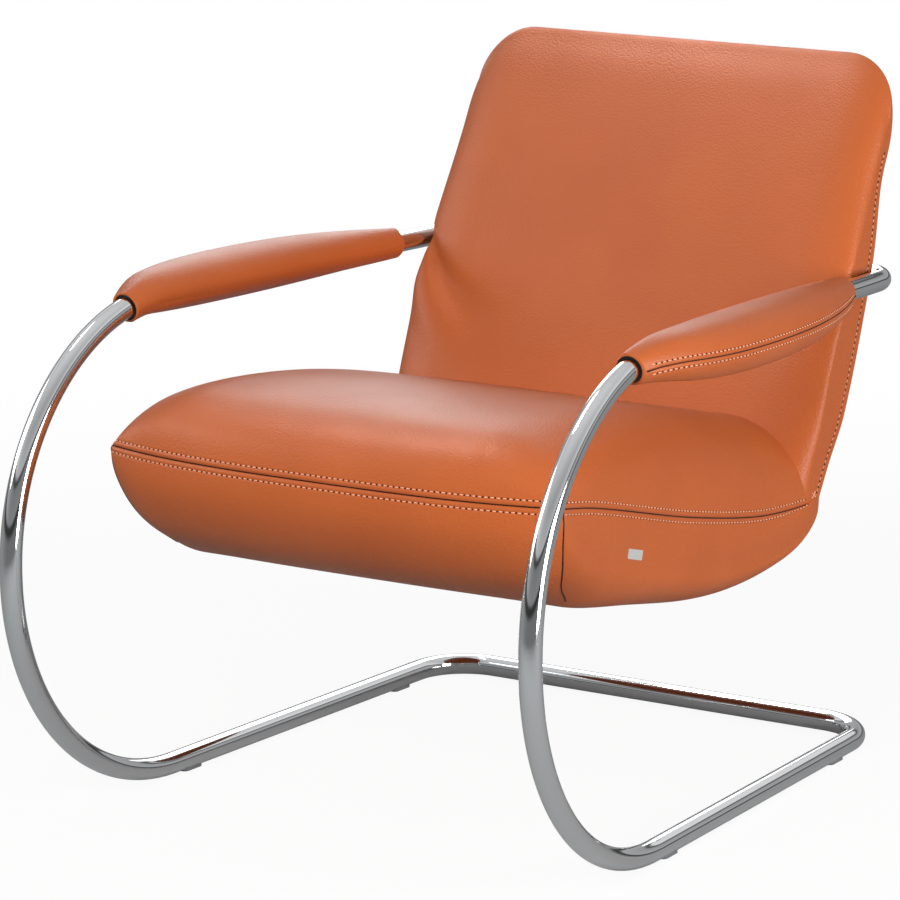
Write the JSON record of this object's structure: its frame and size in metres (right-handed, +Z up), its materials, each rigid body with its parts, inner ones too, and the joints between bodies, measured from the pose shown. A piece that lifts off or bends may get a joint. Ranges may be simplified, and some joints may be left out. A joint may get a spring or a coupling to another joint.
{
  "type": "cantilever lounge chair",
  "caption": "Lounge chair with an upholstered leather seat and back hung on a cantilevered tube frame whose arms carry padded leather sleeves.",
  "frame": {"origin": "on the floor, under the middle of the chair's overall box, in its plane of symmetry", "axes": "+Z up, -Y the way the sitter faces, +X to the sitter's left"},
  "size_m": [0.7642, 0.9298, 0.8035],
  "materials": {
    "block_steel": "black powder coat",
    "chromed_tube": "bright polished chrome plate",
    "cognac_leather": "fine pebble grain, soft sheen",
    "fastener_steel": "zinc-plated steel",
    "glide_plastic": "translucent grey plastic",
    "hidden_frame_paint": "black powder coat",
    "ring_plastic": "black plastic",
    "sleeve_steel": "bare drawn steel",
    "strap_webbing": "elastic webbing",
    "tag_steel": "satin, bare",
    "upholstery_foam": "cut foam with fleece"
  },
  "bodies": {
    "root": {"arm_core_left": "upholstery_foam", "arm_core_right": "upholstery_foam", "arm_cover_left": "cognac_leather", "arm_cover_right": "cognac_leather", "arm_rings": "ring_plastic", "back_foam": "upholstery_foam", "back_front_cover": "cognac_leather", "back_joint_sleeve": "sleeve_steel", "back_rear_cover": "cognac_leather", "back_straps": "strap_webbing", "body_rail_left": "hidden_frame_paint", "body_rail_right": "hidden_frame_paint", "floor_glides": "glide_plastic", "floor_joint_sleeve": "sleeve_steel", "frame_tube_left": "chromed_tube", "frame_tube_right": "chromed_tube", "front_band": "cognac_leather", "front_cross_tube": "hidden_frame_paint", "joint_screws": "fastener_steel", "metal_tag": "tag_steel", "mount_cross_tube": "hidden_frame_paint", "mounting_blocks": "block_steel", "mounting_bolts": "fastener_steel", "mounting_nuts": "fastener_steel", "rear_padding": "upholstery_foam", "saddle_washers": "fastener_steel", "seat_cross_tube": "hidden_frame_paint", "seat_foam": "upholstery_foam", "seat_straps": "strap_webbing", "seat_top_cover": "cognac_leather", "side_band_left": "cognac_leather", "side_band_right": "cognac_leather", "top_cross_tube": "hidden_frame_paint", "underside_cover": "cognac_leather"}
  },
  "joints": []
}
